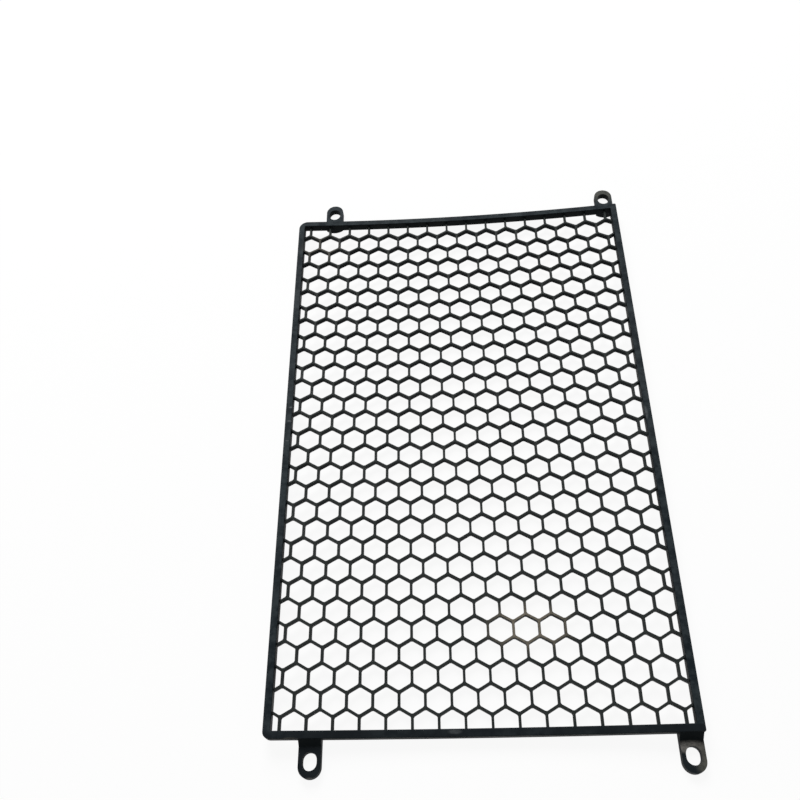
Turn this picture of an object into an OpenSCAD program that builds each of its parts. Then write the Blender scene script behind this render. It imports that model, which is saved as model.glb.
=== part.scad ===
// Radiator screen: a moulded honeycomb guard that stands in front of a motorbike radiator.
// One moulding: a slim frame, a hexagon mesh that fills it, and four slotted lugs.
// X runs across the screen, Y along its long side, and Z towards the front.
// The origin is the middle of the screen, on the plane that the lugs' backs rest on.

/* [Frame] */
// Outside width of the frame, across the short side
frame_w = 193.8; // [150:0.2:240]
// Outside length of the frame, along the long side
frame_l = 303.4; // [240:0.2:360]
// Width of the rails, seen from the front
rail_w = 3.5; // [2.6:0.1:6]
// Depth of the rails, from their front face to their back
rail_t = 4.8; // [3.8:0.1:8]
// Outer corner radius at the upper left
upper_left_r = 5.4; // [1:0.1:8]
// Outer corner radius at the lower left
lower_left_r = 3.2; // [1:0.1:8]
// Outer corner radius at both right corners
right_corner_r = 0.8; // [0.4:0.1:6]

/* [Arch] */
// Radius of the shallow arch across the width, hollow at the front
arch_r = 1450; // [900:10:4000]
// Height of the rails' backs above the resting plane, at the arch's lowest line
stand_off = 1; // [0.4:0.1:6]

/* [Mesh] */
// Distance from one cell to the next in a row
cell_pitch = 12; // [8:0.5:20]
// Thickness of the bars between the cells
bar_w = 1.35; // [0.8:0.05:2.4]
// How far the bars' front edges lie behind the rails' front face
bar_front_inset = 2.3; // [0.2:0.1:2.6]
// How far the bars' back edges lie in front of the rails' back
bar_back_inset = 0.1; // [0.1:0.1:0.8]

/* [Lugs] */
// Width of each lug
lug_w = 10.3; // [9:0.1:16]
// Thickness of each lug's flat end
lug_t = 3.8; // [2:0.1:5]
// Reach of each lug past the frame's outer edge
lug_reach = 16.1; // [15:0.1:26]
// Gap from the frame's left edge to the left lugs' centre line
left_lug_in = 21; // [12:0.5:60]
// Gap from the frame's right edge to the right lugs' centre line
right_lug_in = 5.8; // [5.4:0.2:60]
// Length along Y of the ramp between a lug and the rail
ramp_run = 2.6; // [1:0.1:4]
// How far the top of that ramp lies behind the rail's front face
ramp_step = 1.2; // [0.4:0.1:2.4]
// How far a lug's round root stops short of the rail's inner edge
root_setback = 0.5; // [0.3:0.1:1.5]
// Radius of that round root, seen from the front
root_r = 8; // [6:0.5:11]
// Width of the slot in each lug
slot_w = 6.6; // [4.5:0.1:7]
// Length of the slot in each lug, end to end
slot_l = 7.8; // [7.2:0.1:11]
// Distance from the frame's outer edge to the middle of each slot
slot_out = 8.9; // [8.5:0.1:11]

/* [Hidden] */

open_w = frame_w - 2 * rail_w;
open_l = frame_l - 2 * rail_w;
row_pitch = cell_pitch * sqrt(3) / 2;
cell_r = (cell_pitch - bar_w) / sqrt(3);
cols = ceil(open_w / 2 / cell_pitch);
rows = ceil(open_l / 2 / row_pitch);
lug_r = lug_w / 2;
root_arc_r = max(root_r, lug_r);
root_y = frame_l / 2 - rail_w + root_setback;
left_lug_x = left_lug_in - frame_w / 2;
right_lug_x = frame_w / 2 - right_lug_in;
rise_max = arch_rise(frame_w / 2);
tall = stand_off + rise_max + rail_t + 1;
arch_facets = 720;
corner_facets = 48;

// Height that the arch gains at the distance x from the middle of the screen
function arch_rise(x) = arch_r - sqrt(arch_r * arch_r - x * x);

// A thin curved layer: all that lies between two heights, both measured at the arch's lowest line
module arch_layer(back_z, front_z) {
    axis_z = stand_off + arch_r;
    translate([0, 0, axis_z])
        rotate([90, 0, 0])
            difference() {
                cylinder(h = frame_l + 2, r = axis_z - back_z, center = true, $fn = arch_facets);
                cylinder(h = frame_l + 4, r = axis_z - front_z, center = true, $fn = arch_facets);
            }
}

// Front view of the frame without its opening
module frame_outline() {
    for (side = [-1, 1], end = [-1, 1]) {
        r = side > 0 ? right_corner_r : end > 0 ? upper_left_r : lower_left_r;
        translate([side * frame_w / 4, end * (frame_l / 2 - r) / 2])
            square([frame_w / 2, frame_l / 2 - r], center = true);
        translate([side * (frame_w / 2 - r) / 2, end * frame_l / 4])
            square([frame_w / 2 - r, frame_l / 2], center = true);
        translate([side * (frame_w / 2 - r), end * (frame_l / 2 - r)])
            circle(r = r, $fn = corner_facets);
    }
}

// The four rails, bent to the arch
module frame_rails() {
    intersection() {
        linear_extrude(height = tall)
            difference() {
                frame_outline();
                square([open_w, open_l], center = true);
            }
        arch_layer(stand_off, stand_off + rail_t);
    }
}

// Front view of the mesh, whose bars run on into the rails
module honeycomb() {
    difference() {
        square([open_w + rail_w, open_l + rail_w], center = true);
        for (row = [-rows : rows], col = [-cols : cols])
            translate([(col + abs(row) % 2 / 2) * cell_pitch, row * row_pitch])
                rotate(30)
                    circle(r = cell_r, $fn = 6);
    }
}

// The hexagon mesh, bent to the arch
module mesh() {
    intersection() {
        linear_extrude(height = tall)
            honeycomb();
        arch_layer(stand_off + bar_back_inset, stand_off + rail_t - bar_front_inset);
    }
}

// Front view of one lug at the upper end of the frame, round at both ends
module lug_outline() {
    tip_y = frame_l / 2 + lug_reach - lug_r;
    translate([0, tip_y])
        circle(r = lug_r, $fn = corner_facets);
    translate([-lug_r, root_y + root_arc_r])
        square([lug_w, tip_y - root_y - root_arc_r]);
    intersection() {
        translate([0, root_y + root_arc_r])
            circle(r = root_arc_r, $fn = corner_facets);
        translate([-lug_r, root_y])
            square([lug_w, root_arc_r]);
    }
}

// Front view of the slot in that lug
module slot_outline() {
    half = (slot_l - slot_w) / 2;
    translate([0, frame_l / 2 + slot_out]) {
        for (end = [-half, half])
            translate([0, end])
                circle(d = slot_w, $fn = corner_facets);
        square([slot_w, 2 * half], center = true);
    }
}

// Side view of that lug: a flat pad, a ramp up to the rail, and a root that sits inside the rail
module lug_profile(rail_back) {
    edge_y = frame_l / 2;
    polygon([
        [root_y, 0],
        [edge_y + lug_reach, 0],
        [edge_y + lug_reach, lug_t],
        [edge_y + ramp_run, lug_t],
        [edge_y, rail_back + rail_t - ramp_step],
        [edge_y - rail_w / 4, rail_back + rail_t - ramp_step],
        [edge_y - rail_w / 4, rail_back + rail_t / 2],
        [root_y, rail_back + rail_t / 2]
    ]);
}

// One slotted lug at the upper end, on the centre line x
module lug(x) {
    translate([x, 0, 0])
        difference() {
            intersection() {
                linear_extrude(height = tall)
                    lug_outline();
                rotate([90, 0, 90])
                    linear_extrude(height = lug_w + 2, center = true)
                        lug_profile(stand_off + arch_rise(x));
            }
            translate([0, 0, -1])
                linear_extrude(height = lug_t + 2)
                    slot_outline();
        }
}

// The whole screen as it comes out of the mould
module radiator_screen() {
    color("#1b1f20")
        union() {
            frame_rails();
            mesh();
            for (x = [left_lug_x, right_lug_x]) {
                lug(x);
                mirror([0, 1, 0])
                    lug(x);
            }
        }
}

radiator_screen();
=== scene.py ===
# %% [markdown]
# # A moulded radiator screen
#
# The object is a honeycomb guard that stands in front of a motorbike's radiator. It is one piece of black
# plastic: a slim frame, a mesh of hexagons bent to a very shallow arch, and four slotted lugs.
#
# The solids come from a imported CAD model, which is loaded as a fixed frame. It has knife-sharp edges, and a
# real moulding has none: the tool that cuts the mould leaves a small radius everywhere, and that radius is
# what catches the light. Bevelling the CAD mesh would trip over its long thin triangles. So this lesson
# builds the same moulding again from a few sizes, with those radii.

# %% Load the frame
import math

import bmesh
import bpy
from mathutils import Euler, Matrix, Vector


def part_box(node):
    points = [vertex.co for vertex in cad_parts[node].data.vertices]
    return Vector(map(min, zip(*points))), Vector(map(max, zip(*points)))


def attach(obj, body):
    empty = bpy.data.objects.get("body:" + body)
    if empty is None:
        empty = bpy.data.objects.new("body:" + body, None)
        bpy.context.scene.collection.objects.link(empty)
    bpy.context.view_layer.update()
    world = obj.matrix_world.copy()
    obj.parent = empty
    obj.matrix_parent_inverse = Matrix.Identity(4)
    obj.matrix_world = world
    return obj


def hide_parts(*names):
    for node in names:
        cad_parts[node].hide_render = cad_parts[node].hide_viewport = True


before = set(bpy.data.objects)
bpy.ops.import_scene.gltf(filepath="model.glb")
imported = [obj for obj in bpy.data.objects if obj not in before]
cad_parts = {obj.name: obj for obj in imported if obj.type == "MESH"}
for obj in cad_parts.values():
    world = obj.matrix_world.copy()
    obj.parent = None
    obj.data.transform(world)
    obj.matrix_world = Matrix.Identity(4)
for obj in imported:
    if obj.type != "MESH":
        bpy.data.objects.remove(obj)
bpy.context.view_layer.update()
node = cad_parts["radiator_screen"]
print("The CAD model has", len(node.data.polygons), "faces")

# %% [markdown]
# ## Sizes of the frame
#
# On the real screen the frame is four slim rails, and its four outer corners differ: the left ones are round
# and the right ones nearly sharp. Its sizes could be measured on the CAD mesh, but a maker would rather read
# them on a drawing. So only the outline comes from the CAD box, and the rest are written down. Blender works
# in metres and the moulding was drawn in millimetres, so one factor turns each size into metres.

# %% Sizes of the frame
MM = 0.001
low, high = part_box("radiator_screen")

lug_reach = 16.1 * MM
frame_w = high.x - low.x
frame_l = high.y - low.y - 2 * lug_reach
rail_w = 3.5 * MM
rail_t = 4.8 * MM
upper_left_r = 5.4 * MM
lower_left_r = 3.2 * MM
right_corner_r = 0.8 * MM
open_w = frame_w - 2 * rail_w
open_l = frame_l - 2 * rail_w

print(f"Frame {frame_w / MM:.1f} by {frame_l / MM:.1f} mm")
print(f"Opening {open_w / MM:.1f} by {open_l / MM:.1f} mm")

# %% [markdown]
# ## The arch
#
# The screen is hollow at the front: its long sides stand about 3 mm further forward than its middle, to suit
# a radiator that is bent round the front wheel. That is a part of a large cylinder. A modifier could bend
# the finished piece, but it would pull its sides inwards. So everything is built flat first and then lifted
# by this one formula, which keeps the front view as it was drawn.

# %% The height that the arch gives
arch_r = 1450 * MM
stand_off = 1.0 * MM


def arch_rise(x):
    return arch_r - math.sqrt(arch_r * arch_r - x * x)


print(f"The long sides stand {arch_rise(frame_w / 2) / MM:.2f} mm in front of the middle")

# %% [markdown]
# ## A plate with holes
#
# The mesh of the real screen is a thin plate with hundreds of holes, each with a small radius round its rim.
# Holes could be cut one by one, or built face by face, and both would be slow. Blender's 2D curves do it at
# once: each closed curve inside another is taken as a hole, the fill follows, extrude gives it thickness and
# bevel rounds both rims of every edge. The bevel grows outwards, so the curve is drawn smaller by the radius.
# The curve is then turned into a mesh, and its doubled points are welded.


# %% Freeze what a curve or a modifier shows into a mesh
def frozen_mesh(shape):
    bpy.context.view_layer.update()
    graph = bpy.context.evaluated_depsgraph_get()
    return bpy.data.meshes.new_from_object(shape.evaluated_get(graph))


# %% Draw closed outlines as one filled curve
def outline_curve(name, outlines, thickness, radius, steps):
    curve = bpy.data.curves.new(name, "CURVE")
    curve.dimensions = "2D"
    curve.fill_mode = "BOTH"
    for outline in outlines:
        spline = curve.splines.new("POLY")
        spline.points.add(len(outline) - 1)
        for point, (x, y) in zip(spline.points, outline):
            point.co = (x, y, 0, 1)
        spline.use_cyclic_u = True
    curve.bevel_depth = radius
    curve.bevel_resolution = steps
    curve.offset = -radius
    curve.extrude = thickness / 2 - radius
    shape = bpy.data.objects.new(name, curve)
    bpy.context.scene.collection.objects.link(shape)
    return shape


# %% Turn closed outlines into a rounded plate
WELD = 0.01 * MM
FLAT_ANGLE = math.radians(0.5)


def rounded_plate(name, outlines, back, front, radius, steps=1):
    shape = outline_curve(name, outlines, front - back, radius, steps)
    mesh = frozen_mesh(shape)
    bpy.data.objects.remove(shape)
    plate = bpy.data.objects.new(name, mesh)
    bpy.context.scene.collection.objects.link(plate)
    form = bmesh.new()
    form.from_mesh(mesh)
    bmesh.ops.remove_doubles(form, verts=form.verts, dist=WELD)
    # A plate with one hole or none keeps only the edges that its shape needs.
    if len(outlines) < 3:
        bmesh.ops.dissolve_limit(form, angle_limit=FLAT_ANGLE, verts=form.verts, edges=form.edges)
    bmesh.ops.recalc_face_normals(form, faces=form.faces)
    for vert in form.verts:
        vert.co.z += (front + back) / 2
    form.to_mesh(mesh)
    form.free()
    print(f"{name}: {len(outlines)} outlines, {len(mesh.polygons)} faces")
    return plate


# %% [markdown]
# ## Outlines
#
# Three kinds of outline are needed: a rectangle with a radius at each corner for the rails, a slot or lug
# with round ends, and the hexagon of a cell. They could be typed in as points, but then no size could be
# changed. So each is worked out by a short function, and every round stretch comes from the same arc.


# %% An arc as a list of points
def arc(cx, cy, r, start, end, steps):
    turns = [start + (end - start) * i / steps for i in range(steps + 1)]
    return [(cx + r * math.cos(math.radians(a)), cy + r * math.sin(math.radians(a))) for a in turns]


print("A quarter circle in 6 steps has", len(arc(0, 0, 1, 0, 90, 6)), "points")

# %% The outline of the rails, inside and outside
LEFT_CORNER_STEPS = 12
RIGHT_CORNER_STEPS = 6


def rounded_rectangle(width, length, upper_left, lower_left, right):
    x = width / 2
    y = length / 2
    points = arc(x - right, y - right, right, 0, 90, RIGHT_CORNER_STEPS)
    points += arc(upper_left - x, y - upper_left, upper_left, 90, 180, LEFT_CORNER_STEPS)
    points += arc(lower_left - x, lower_left - y, lower_left, 180, 270, LEFT_CORNER_STEPS)
    points += arc(x - right, right - y, right, 270, 360, RIGHT_CORNER_STEPS)
    return points


frame_edge = rounded_rectangle(frame_w, frame_l, upper_left_r, lower_left_r, right_corner_r)
print("The frame's outer edge has", len(frame_edge), "points")

# %% [markdown]
# ## The cells
#
# The cells are hexagons with a point up and down, 12 mm apart, and every other row is shifted by half a cell.
# A real cell has small radii in its corners, which a short flat at each corner stands for: at this size the
# two look alike, and the flat needs two points where an arc needs five. The bars are 1.2 mm wide and 2.9 mm
# deep here, slightly slimmer and deeper than the CAD model has them, which is nearer to the real bars.

# %% Sizes of the cells and bars
cell_pitch = 12.0 * MM
row_pitch = cell_pitch * math.sqrt(3) / 2
bar_w = 1.2 * MM
bar_back_inset = 0.1 * MM
bar_front_inset = 1.8 * MM
bar_back = stand_off + bar_back_inset
bar_front = stand_off + rail_t - bar_front_inset
cell_r = (cell_pitch - bar_w) / math.sqrt(3)
cell_corner = 0.45 * MM
columns = math.ceil(open_w / 2 / cell_pitch)
rows = math.ceil(open_l / 2 / row_pitch)
print(f"Bars {bar_w / MM:.1f} mm wide and {(bar_front - bar_back) / MM:.1f} mm deep")


# %% The outline of a cell
def cell_outline(cx, cy, r, corner):
    points = []
    for i in range(6):
        a = math.radians(60 * i + 30)
        for turn in (-1, 1):
            b = a + turn * math.radians(120)
            x = cx + r * math.cos(a) + corner * math.cos(b)
            y = cy + r * math.sin(a) + corner * math.sin(b)
            points.append((x, y))
    return points


print("A cell has", len(cell_outline(0, 0, cell_r, cell_corner)), "points")

# %% [markdown]
# ## Cutting the cells off at the rails
#
# On the real screen the outer cells end at the rails, some as narrow slivers. A boolean could cut them off
# once they are a mesh, but it is simpler while they are still outlines. An outline is clipped against one
# straight line at a time: points on the good side are kept, and where an edge crosses the line, the crossing
# point is added. The cut lies just inside the rail, so that the rail hides it.


# %% Clip an outline at one line
def clipped(points, axis, side, limit):
    kept = []
    for a, b in zip(points, points[1:] + points[:1]):
        room_a = limit - side * a[axis]
        room_b = limit - side * b[axis]
        if room_a >= 0:
            kept.append(a)
        if room_a * room_b < 0:
            t = room_a / (room_a - room_b)
            kept.append((a[0] + (b[0] - a[0]) * t, a[1] + (b[1] - a[1]) * t))
    return kept


print("Half of a cell has", len(clipped(cell_outline(0, 0, cell_r, cell_corner), 0, 1, 0)), "points")

# %% Lay out all the cells
hidden_in_rail = 0.6 * MM


def cut_to_opening(points):
    for axis, half in ((0, open_w / 2), (1, open_l / 2)):
        if all(abs(point[axis]) >= half for point in points):
            return []
        for side in (-1, 1):
            points = clipped(points, axis, side, half + hidden_in_rail)
    return points


cells = []
for row in range(-rows, rows + 1):
    for column in range(-columns, columns + 1):
        cell_x = (column + row % 2 / 2) * cell_pitch
        outline = cut_to_opening(cell_outline(cell_x, row * row_pitch, cell_r, cell_corner))
        if len(outline) > 2:
            cells.append(outline)
print("The mesh has", len(cells), "cells")

# %% [markdown]
# ## The mesh and the frame
#
# The mesh is one plate with all the cells as holes, and the frame is another with one large hole. The rails
# are much deeper than the bars, and stand about 2 mm in front of them all round. Both could be one plate, but
# a curve has only one thickness. So there are two, and the mesh runs on into the rails, to be fused later.


# %% Put more points on a long edge
def with_steps(points, step):
    stepped = []
    for a, b in zip(points, points[1:] + points[:1]):
        count = max(1, math.ceil(math.dist(a, b) / step))
        for i in range(count):
            stepped.append((a[0] + (b[0] - a[0]) * i / count, a[1] + (b[1] - a[1]) * i / count))
    return stepped


# %% Make the mesh plate
bar_round = 0.22 * MM
mesh_corner_r = 0.3 * MM
mesh_w = open_w + rail_w
mesh_l = open_l + rail_w

mesh_edge = rounded_rectangle(mesh_w, mesh_l, mesh_corner_r, mesh_corner_r, mesh_corner_r)
mesh_outlines = [with_steps(mesh_edge, cell_pitch / 2)] + cells
mesh_plate = rounded_plate("mesh", mesh_outlines, bar_back, bar_front, bar_round)

# %% Make the frame plate
rail_round = 0.35 * MM
rail_front = stand_off + rail_t
opening_left_r = 0.5 * MM
opening_right_r = 0.4 * MM

opening = rounded_rectangle(open_w, open_l, opening_left_r, opening_left_r, opening_right_r)
frame_plate = rounded_plate("frame", [frame_edge, opening], stand_off, rail_front, rail_round, steps=2)

# %% [markdown]
# ## Bending the plates
#
# The real screen is arched across its width, rails and mesh together. A flat plate that is meant to bend
# needs points to bend at. A subdivision would put them everywhere, so both plates are sliced instead, from
# top to bottom at regular lines, and then lifted. The slices lie a quarter of a cell aside, where no upright
# bar stands in any row.

# %% Slice the plates and lift them to the arch
FOLD_ASIDE = 0.25
folds = math.ceil(frame_w / 2 / cell_pitch)


def bend(plate):
    form = bmesh.new()
    form.from_mesh(plate.data)
    for fold in range(-folds, folds + 1):
        everything = form.verts[:] + form.edges[:] + form.faces[:]
        place = ((fold + FOLD_ASIDE) * cell_pitch, 0, 0)
        bmesh.ops.bisect_plane(form, geom=everything, dist=WELD, plane_co=place, plane_no=(1, 0, 0))
    bmesh.ops.remove_doubles(form, verts=form.verts, dist=WELD)
    bmesh.ops.dissolve_degenerate(form, dist=WELD / 2, edges=form.edges)
    for vert in form.verts:
        vert.co.z += arch_rise(vert.co.x)
    form.to_mesh(plate.data)
    form.free()
    print(plate.name, "has", len(plate.data.polygons), "faces once it is bent")


bend(mesh_plate)
bend(frame_plate)

# %% [markdown]
# ## The lugs
#
# A lug is a flat pad with a round end and a slot for a bolt. A ramp leads from the pad up to the rail and
# ends 1.2 mm behind the rail's front. A round root sits under the rail, 0.5 mm short of its inner edge, where
# a slanting view shows it through the first row of cells. A lug could be modelled face by face, but its front
# view and its side view are both simple outlines. So each is drawn as a plate, and the lug is what the two
# have in common. The bevel comes last, so that it rounds every edge that the cut has left.

# %% Sizes of the lugs
lug_w = 10.3 * MM
lug_r = lug_w / 2
lug_t = 3.8 * MM
left_lug_in = 21.0 * MM
right_lug_in = 5.8 * MM
left_lug_x = low.x + left_lug_in
right_lug_x = high.x - right_lug_in
ramp_run = 2.6 * MM
ramp_step = 1.2 * MM
root_setback = 0.5 * MM
root_y = frame_l / 2 - rail_w + root_setback
root_r = 8.0 * MM
slot_w = 6.6 * MM
slot_l = 7.8 * MM
slot_out = 8.9 * MM
slot_y = frame_l / 2 + slot_out
print(f"The slots of the two ends are {2 * slot_y / MM:.1f} mm apart")

# %% The front view of a lug and its slot
LUG_TIP_STEPS = 32
LUG_ROOT_STEPS = 16
SLOT_STEPS = 24


def lug_outline():
    tip_y = frame_l / 2 + lug_reach - lug_r
    lean = math.degrees(math.asin(lug_r / root_r))
    tip = arc(0, tip_y, lug_r, 0, 180, LUG_TIP_STEPS)
    return tip + arc(0, root_y + root_r, root_r, 270 - lean, 270 + lean, LUG_ROOT_STEPS)


def slot_outline():
    half = (slot_l - slot_w) / 2
    upper_end = arc(0, slot_y + half, slot_w / 2, 0, 180, SLOT_STEPS)
    return upper_end + arc(0, slot_y - half, slot_w / 2, 180, 360, SLOT_STEPS)


print("The front view has", len(lug_outline()), "points and its slot", len(slot_outline()))

# %% The side view of a lug: pad, ramp and root
# The side view is longer than the lug at both ends, so that the front view alone shapes them.
side_spare = 1 * MM


def lug_profile(rail_back):
    edge_y = frame_l / 2
    root = root_y - side_spare
    tip = edge_y + lug_reach + side_spare
    inside = edge_y - rail_w / 4
    ramp_top = rail_back + rail_t - ramp_step
    middle = rail_back + rail_t / 2
    pad = [(root, 0), (tip, 0), (tip, lug_t)]
    ramp = [(edge_y + ramp_run, lug_t), (edge_y, ramp_top), (inside, ramp_top)]
    return pad + ramp + [(inside, middle), (root, middle)]


print("The side view has", len(lug_profile(stand_off)), "points")


# %% Join, cut and intersect solids
def apply_modifiers(shape):
    mesh = frozen_mesh(shape)
    shape.modifiers.clear()
    shape.data = mesh


def solid_boolean(shape, tool, operation):
    cut = shape.modifiers.new(operation.title(), "BOOLEAN")
    cut.operation = operation
    cut.solver = "EXACT"
    cut.object = tool
    apply_modifiers(shape)
    bpy.data.objects.remove(tool)


# %% Round the edges of a lug
lug_round = 0.35 * MM
LUG_ROUND_STEPS = 2
ROUND_ABOVE = math.radians(30)


def round_lug(lug):
    rounding = lug.modifiers.new("Mould radius", "BEVEL")
    rounding.width = lug_round
    rounding.segments = LUG_ROUND_STEPS
    rounding.limit_method = "ANGLE"
    rounding.angle_limit = ROUND_ABOVE
    apply_modifiers(lug)


# %% Make the four lugs
# The front view is drawn as a blank that is taller than any lug, and the side view cuts it down.
blank_back = -2 * MM
blank_front = 12 * MM


def make_lug(name, x, end):
    lug = rounded_plate(name, [lug_outline(), slot_outline()], blank_back, blank_front, 0)
    profile = lug_profile(stand_off + arch_rise(x))
    side_view = rounded_plate("side view", [profile], -lug_w, lug_w, 0)
    # The side view is drawn lying down, and exchanging its axes stands it up.
    for vert in side_view.data.vertices:
        vert.co = (vert.co.z, vert.co.x, vert.co.y)
    solid_boolean(lug, side_view, "INTERSECT")
    round_lug(lug)
    for vert in lug.data.vertices:
        vert.co = (vert.co.x + x, vert.co.y * end, vert.co.z)
    # A mirrored lug is inside out until its faces are turned round.
    if end < 0:
        lug.data.flip_normals()
    return lug


lug_places = [(left_lug_x, 1), (right_lug_x, 1), (left_lug_x, -1), (right_lug_x, -1)]
lugs = [make_lug(f"lug_{i}", x, end) for i, (x, end) in enumerate(lug_places)]
print("A finished lug has", len(lugs[0].data.polygons), "faces")

# %% [markdown]
# ## One moulding
#
# The real screen comes out of the mould in one piece. The plates and lugs could stay separate objects that
# overlap, but thin seams would show where they meet. A boolean union takes away what lies inside, and leaves
# one closed skin. Flat faces keep their flat look and the radii look round when the shading follows the
# larger faces, which is what weighted normals do.

# %% Fuse everything into one piece
screen = frame_plate
screen.name = "screen_moulding"
for other in [mesh_plate] + lugs:
    solid_boolean(screen, other, "UNION")
print("The moulding has", len(screen.data.polygons), "faces")

# %% Shade flat faces flat and radii round
SHARP_ABOVE = math.radians(40)

for polygon in screen.data.polygons:
    polygon.use_smooth = True
screen.data.set_sharp_from_angle(angle=SHARP_ABOVE)
weighting = screen.modifiers.new("Weighted normals", "WEIGHTED_NORMAL")
weighting.keep_sharp = True
apply_modifiers(screen)
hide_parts("radiator_screen")
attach(screen, "root")
print(screen.name, "stands for the CAD model")

# %% [markdown]
# ## Building a material from nodes
#
# A material is a small network. It could be wired by hand in the editor, but then it could not be read as
# text. So a few helpers build it: one adds a node, one makes a noise, one maps a range of numbers to another
# with soft ends, one combines two numbers, and one blends two colours. In the cells below, a range holds the
# two values between which a number starts and ends to count, and then, if they aren't 0 and 1, what it gives.


# %% Add a node, a noise or a range
def add_node(tree, kind, **settings):
    node = tree.nodes.new(kind)
    for name, value in settings.items():
        setattr(node, name, value)
    return node


def noise(tree, coordinates, scale, detail=3.0, roughness=0.5):
    texture = add_node(tree, "ShaderNodeTexNoise")
    texture.inputs["Scale"].default_value = scale
    texture.inputs["Detail"].default_value = detail
    texture.inputs["Roughness"].default_value = roughness
    tree.links.new(coordinates, texture.inputs["Vector"])
    return texture.outputs["Fac"]


def remap(tree, value, low_in, high_in, low_out=0.0, high_out=1.0):
    ranges = add_node(tree, "ShaderNodeMapRange", interpolation_type="SMOOTHSTEP")
    ranges.inputs["From Min"].default_value = low_in
    ranges.inputs["From Max"].default_value = high_in
    ranges.inputs["To Min"].default_value = low_out
    ranges.inputs["To Max"].default_value = high_out
    tree.links.new(value, ranges.inputs["Value"])
    return ranges.outputs["Result"]


# %% Combine numbers and colours
def combine(tree, operation, a, b):
    maths = add_node(tree, "ShaderNodeMath", operation=operation)
    for source, socket in zip((a, b), maths.inputs):
        if isinstance(source, float):
            socket.default_value = source
        else:
            tree.links.new(source, socket)
    return maths.outputs[0]


def blend_colour(tree, amount, a, b):
    mix = add_node(tree, "ShaderNodeMix", data_type="RGBA")
    tree.links.new(amount, mix.inputs["Factor"])
    for socket, colour in zip((mix.inputs[6], mix.inputs[7]), (a, b)):
        if isinstance(colour, tuple):
            socket.default_value = (*colour, 1)
        else:
            tree.links.new(colour, socket)
    return mix.outputs[2]


# %% [markdown]
# ## The plastic and its painted shade
#
# The screen is moulded in black plastic with a little blue in it, half matt. A single black would look like a
# cut-out. The faces that look forward are greyed, and the walls between them get a deeper black, which is
# painted shade: it stands in for the shade that falls on them. That could be painted on a texture, but a
# painted picture belongs to one mesh only. So the colour follows the direction that a face looks in, and the
# place: the bars are greyed a little warmer than the rails, the rails are mottled, and the lower end gets
# painted shade.

# %% Colours of the plastic
# The wall black is painted shade on the walls between the forward faces, and the lower end's black is painted
# shade too.
WALL_PAINTED_SHADE = (0.005, 0.007, 0.008)
RAIL_BLACK = (0.006, 0.010, 0.013)
RAIL_GREYED = (0.025, 0.033, 0.037)
BAR_GREYED = (0.022, 0.026, 0.025)
LOWER_END_PAINTED_SHADE = (0.006, 0.008, 0.010)
print("The rails grey from", RAIL_BLACK, "to", RAIL_GREYED)

# %% Tell the rails from the bars by their place
RAIL_BORDER = (-0.2 * MM, 0.1 * MM)


def on_rails(tree, xyz):
    past_opening = []
    for socket, half in (("X", open_w / 2), ("Y", open_l / 2)):
        away = add_node(tree, "ShaderNodeMath", operation="ABSOLUTE")
        tree.links.new(xyz.outputs[socket], away.inputs[0])
        past_opening.append(combine(tree, "SUBTRACT", away.outputs[0], half))
    return remap(tree, combine(tree, "MAXIMUM", *past_opening), *RAIL_BORDER)


# %% Grey the faces that look forward, and paint shade on the walls and the lower end
MOTTLE_SCALE = 170
MOTTLE_DETAIL = 5
MOTTLE_ROUGHNESS = 0.68
MOTTLE_RANGE = (0.36, 0.64)
LOWER_END_FADE = 0.6 * MM
LOWER_END_RANGE = (0.35, 0.65, 0.55, 0.9)


def plastic_with_painted_shade(tree, place, clouds, forward):
    xyz = add_node(tree, "ShaderNodeSeparateXYZ")
    tree.links.new(place, xyz.inputs[0])
    mottle = noise(tree, place, MOTTLE_SCALE, MOTTLE_DETAIL, MOTTLE_ROUGHNESS)
    rails = blend_colour(tree, remap(tree, mottle, *MOTTLE_RANGE), RAIL_BLACK, RAIL_GREYED)
    fronts = blend_colour(tree, on_rails(tree, xyz), BAR_GREYED, rails)
    end_y = -open_l / 2
    # The lower end is darkened in patches set by the clouds: painted shade, where less light reaches it.
    lower_end = remap(tree, xyz.outputs["Y"], end_y - LOWER_END_FADE, end_y, 1.0, 0.0)
    lower_end_shade_amount = combine(tree, "MULTIPLY", lower_end, remap(tree, clouds, *LOWER_END_RANGE))
    fronts = blend_colour(tree, lower_end_shade_amount, fronts, LOWER_END_PAINTED_SHADE)
    # Faces that turn away from Z get the wall black, which is painted shade.
    return blend_colour(tree, forward, WALL_PAINTED_SHADE, fronts)


# %% [markdown]
# ## Dust, scuffs and painted highlights
#
# Road dust has dried on a few bars and on the lugs of the right side, and stones and tools have left small
# pale scuffs on the rails. Two of the pale spots are painted highlights instead: one along the inner edge of
# the right rail and one on the tip of the lower left lug. A noise alone would spread them evenly, which looks
# like a pattern. So each of them is a soft spot round a point on the part, stretched where it is long, and it
# lies only on faces that look forward. A fine noise breaks it up, so that it does not look sprayed on.

# %% Places and colours of the marks
TAN_DUST = (0.170, 0.150, 0.118)
# The pale dust colour also paints a highlight on the tip of the lower left lug.
PALE_DUST_AND_HIGHLIGHT = (0.210, 0.200, 0.185)
GREY_DUST = (0.095, 0.095, 0.082)
# The scuff colour also paints a highlight along the right rail's inner edge.
SCUFF_AND_HIGHLIGHT = (0.110, 0.120, 0.125)

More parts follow.
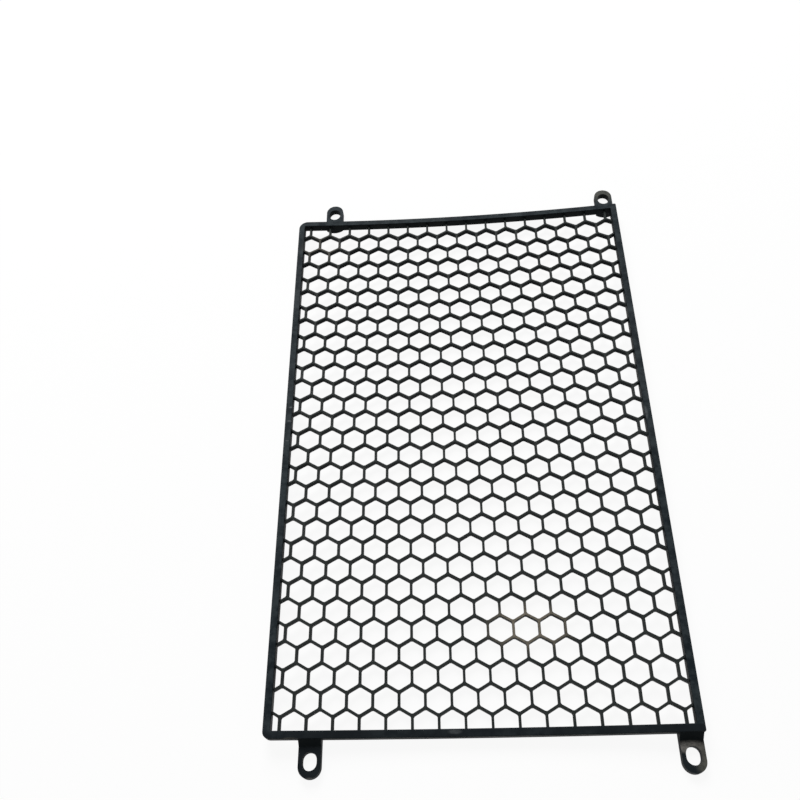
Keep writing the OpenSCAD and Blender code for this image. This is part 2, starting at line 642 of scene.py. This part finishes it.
# Each row holds a name, the middle and radius in millimetres, how much a step along X, Y and Z counts,
# the colour, and the strength.
marks = [
    ("dust on the bars", (25.5, -103.5, 4), 26, (1, 1.8, 0.3), TAN_DUST, 0.95),
    ("band above the lower right slot", (90.5, -157, 4), 8, (0.9, 2.4, 0.5), PALE_DUST_AND_HIGHLIGHT, 0.9),
    ("right side of the lower right lug", (96, -162.5, 4), 7, (1.1, 0.8, 0.5), GREY_DUST, 0.85),
    ("upper right lug", (91, 167, 4), 11, (1, 1, 0.5), GREY_DUST, 0.75),
    ("first scuff on the left rail", (-94, 18.5, 9), 1.8, (1, 3, 0.2), SCUFF_AND_HIGHLIGHT, 0.8),
    ("second scuff on the left rail", (-94.5, 10, 9), 1.8, (1, 3, 0.2), SCUFF_AND_HIGHLIGHT, 0.8),
    ("third scuff on the left rail", (-95, -2, 9), 1.4, (1, 3, 0.2), SCUFF_AND_HIGHLIGHT, 0.6),
    # A painted highlight, not wear, along the right rail's inner edge.
    ("painted highlight along the right rail's inner edge", (94, 6, 9), 5, (4, 1, 0.2), SCUFF_AND_HIGHLIGHT, 0.5),
    ("worn spot on the bottom rail", (-11, -149.5, 6), 4, (1, 3, 0.2), SCUFF_AND_HIGHLIGHT, 0.4),
    ("bars near the upper left corner", (-82.5, 131.5, 6.5), 14, (1, 1, 0.3), TAN_DUST, 0.3),
    ("rubbed edge of the bottom rail", (-84.5, -152, 8), 5, (1, 5, 0.2), TAN_DUST, 0.45),
    # A painted highlight, not wear, on the tip of the lower left lug.
    ("painted highlight on the tip of the lower left lug", (-75.5, -168.5, 3.5), 3.6, (1, 2.2, 0.3), PALE_DUST_AND_HIGHLIGHT, 0.45),
]
for name, centre, radius, *_ in marks:
    print(f"{name}: within {radius} mm of {centre}")


# %% A soft spot round a point
SPOT_CORE = 0.4


def soft_spot(tree, coordinates, centre, radius, stretch):
    away = add_node(tree, "ShaderNodeVectorMath", operation="SUBTRACT")
    tree.links.new(coordinates, away.inputs[0])
    away.inputs[1].default_value = centre
    scaled = add_node(tree, "ShaderNodeVectorMath", operation="MULTIPLY")
    tree.links.new(away.outputs[0], scaled.inputs[0])
    scaled.inputs[1].default_value = stretch
    length = add_node(tree, "ShaderNodeVectorMath", operation="LENGTH")
    tree.links.new(scaled.outputs[0], length.inputs[0])
    return remap(tree, length.outputs["Value"], radius * SPOT_CORE, radius, 1.0, 0.0)


# %% Lay the marks over the plastic
SPECKLE_SCALE = 700
SPECKLE_DETAIL = 4
SPECKLE_ROUGHNESS = 0.7
SPECKLE_RANGE = (0.35, 0.6, 0.55, 1.0)


def marked_plastic(tree, place, forward, colour):
    speckle = noise(tree, place, SPECKLE_SCALE, SPECKLE_DETAIL, SPECKLE_ROUGHNESS)
    speckled_forward = combine(tree, "MULTIPLY", forward, remap(tree, speckle, *SPECKLE_RANGE))
    # The marks are dust and scuffs, and two painted highlights.
    for _, centre, radius, stretch, tint, strength in marks:
        spot = soft_spot(tree, place, Vector(centre) * MM, radius * MM, stretch)
        amount = combine(tree, "MULTIPLY", combine(tree, "MULTIPLY", spot, speckled_forward), strength)
        colour = blend_colour(tree, amount, colour, tint)
    return colour


# %% [markdown]
# ## The finish
#
# Half matt plastic reflects little and softly, and it is never equally glossy all over. One even roughness
# would look like paint, so the roughness drifts with the same large clouds as the colour. A moulding also has
# a very fine grain, which breaks up the highlights. Grain that fine would need millions of faces, so it is a
# bump, which only tilts the shading. A face counts as looking forward as its direction nears the Z axis.

# %% Mix the plastic
FORWARD_RANGE = (0.6, 0.95)
CLOUD_SCALE = 55
CLOUD_DETAIL = 4
GLOSS_RANGE = (0.3, 0.7, 0.48, 0.62)
GRAIN_SCALE = 2600
GRAIN_DETAIL = 2
GRAIN_HEIGHT = 0.03 * MM
GRAIN_STRENGTH = 0.35
PLASTIC_IOR = 1.46
SPECULAR_LEVEL = 0.06


def moulded_plastic():
    plastic = bpy.data.materials.new("moulded black plastic")
    plastic.use_nodes = True
    tree = plastic.node_tree
    shader = tree.nodes["Principled BSDF"]
    sources = add_node(tree, "ShaderNodeTexCoord")
    place = sources.outputs["Object"]
    direction = add_node(tree, "ShaderNodeSeparateXYZ")
    tree.links.new(sources.outputs["Normal"], direction.inputs[0])
    forward = remap(tree, direction.outputs["Z"], *FORWARD_RANGE)
    clouds = noise(tree, place, CLOUD_SCALE, CLOUD_DETAIL)
    colour = marked_plastic(tree, place, forward, plastic_with_painted_shade(tree, place, clouds, forward))
    tree.links.new(colour, shader.inputs["Base Color"])
    tree.links.new(remap(tree, clouds, *GLOSS_RANGE), shader.inputs["Roughness"])
    shader.inputs["IOR"].default_value = PLASTIC_IOR
    shader.inputs["Specular IOR Level"].default_value = SPECULAR_LEVEL
    grain = add_node(tree, "ShaderNodeBump")
    grain.inputs["Strength"].default_value = GRAIN_STRENGTH
    grain.inputs["Distance"].default_value = GRAIN_HEIGHT
    tree.links.new(noise(tree, place, GRAIN_SCALE, GRAIN_DETAIL), grain.inputs["Height"])
    tree.links.new(grain.outputs["Normal"], shader.inputs["Normal"])
    return plastic


screen.data.materials.clear()
screen.data.materials.append(moulded_plastic())
print("The plastic is mixed from", len(screen.data.materials[0].node_tree.nodes), "nodes")

# %% [markdown]
# ## The floor
#
# The screen lies on white paper. A camera that is set for a black object sees the paper as almost pure white,
# with only a trace of shadow. More light would do that too, but it would wash out the black plastic. So for
# the camera and for reflections the paper is mostly its own light, and for all other light it stays ordinary
# matt paper. It lies a hair below the lugs' backs, because two faces in one plane would flicker.


# %% Find out whether a ray is seen or reflected
def seen_or_reflected(tree):
    path = add_node(tree, "ShaderNodeLightPath")
    either = combine(tree, "MAXIMUM", path.outputs["Is Camera Ray"], path.outputs["Is Glossy Ray"])
    return combine(tree, "MAXIMUM", either, path.outputs["Is Transmission Ray"])


# %% Lay the paper
FLOOR_SIZE = 6.0
FLOOR_GAP = 0.05 * MM
PAPER = (0.92, 0.92, 0.915)
PAPER_GLOW = 0.92


def white_paper():
    paper = bpy.data.materials.new("white paper")
    paper.use_nodes = True
    tree = paper.node_tree
    tree.nodes.clear()
    output = add_node(tree, "ShaderNodeOutputMaterial")
    mix = add_node(tree, "ShaderNodeMixShader")
    matt = add_node(tree, "ShaderNodeBsdfDiffuse")
    matt.inputs["Color"].default_value = (*PAPER, 1)
    glow = add_node(tree, "ShaderNodeEmission")
    own_light = combine(tree, "MULTIPLY", seen_or_reflected(tree), PAPER_GLOW)
    tree.links.new(own_light, mix.inputs["Fac"])
    tree.links.new(matt.outputs[0], mix.inputs[1])
    tree.links.new(glow.outputs[0], mix.inputs[2])
    tree.links.new(mix.outputs[0], output.inputs["Surface"])
    return paper


bpy.ops.mesh.primitive_plane_add(size=FLOOR_SIZE, location=(0, 0, -FLOOR_GAP))
floor = bpy.context.object
floor.name = "floor"
floor.data.materials.append(white_paper())
print(f"The floor is {FLOOR_SIZE} m wide")

# %% [markdown]
# ## The light
#
# The screen was lit by a large soft source beyond its upper end, which leaves the walls that face the viewer
# dark. One wide square lamp there does the same, and a faint even sky fills in. The sky looks white to the
# camera and in reflections, and is weaker for all other light, for the same reason as the paper.

# %% Light
SKY_SEEN = 1.0
SKY_FILL = 0.25

world = bpy.data.worlds.new("studio")
bpy.context.scene.world = world
world.use_nodes = True
sky_tree = world.node_tree
sky = sky_tree.nodes["Background"]
sky_level = remap(sky_tree, seen_or_reflected(sky_tree), 0, 1, SKY_FILL, SKY_SEEN)
sky_tree.links.new(sky_level, sky.inputs["Strength"])
sky.inputs["Color"].default_value = (1, 1, 1, 1)


def soft_lamp(name, place, size, power):
    lamp = bpy.data.lights.new(name, "AREA")
    lamp.shape = "SQUARE"
    lamp.size = size
    lamp.energy = power
    holder = bpy.data.objects.new(name, lamp)
    holder.location = place
    towards_screen = Vector((0, 0, 0)) - Vector(place)
    holder.rotation_euler = towards_screen.to_track_quat("-Z", "Y").to_euler()
    bpy.context.scene.collection.objects.link(holder)
    return holder


window = soft_lamp("window", place=(-0.3, 1.15, 1.15), size=0.9, power=30)
print(f"The lamp stands {window.location.length:.2f} m from the screen")

# %% [markdown]
# ## The camera
#
# The picture looks down on the screen from its lower end, so the long sides draw together towards the top.
# The camera could be set by eye, but it was worked out from the places of the cells' centres in the picture,
# which fixes its place, its tilt and its lens together.

# %% Camera
CAMERA_PLACE = (-0.001708, -0.217523, 0.410628)
CAMERA_TILT = (30.4979, 4.7791, -0.1514)
SENSOR_WIDTH = 36
LENS = 38.986
NEAREST = 0.01

camera_data = bpy.data.cameras.new("camera")
camera_data.sensor_width = SENSOR_WIDTH
camera_data.lens = LENS
camera_data.clip_start = NEAREST
camera = bpy.data.objects.new("camera", camera_data)
camera.location = CAMERA_PLACE
camera.rotation_euler = Euler([math.radians(angle) for angle in CAMERA_TILT])
bpy.context.scene.collection.objects.link(camera)
bpy.context.scene.camera = camera
bpy.context.scene.view_settings.view_transform = "Standard"
print(f"The camera stands {camera.location.length:.2f} m from the screen's middle")
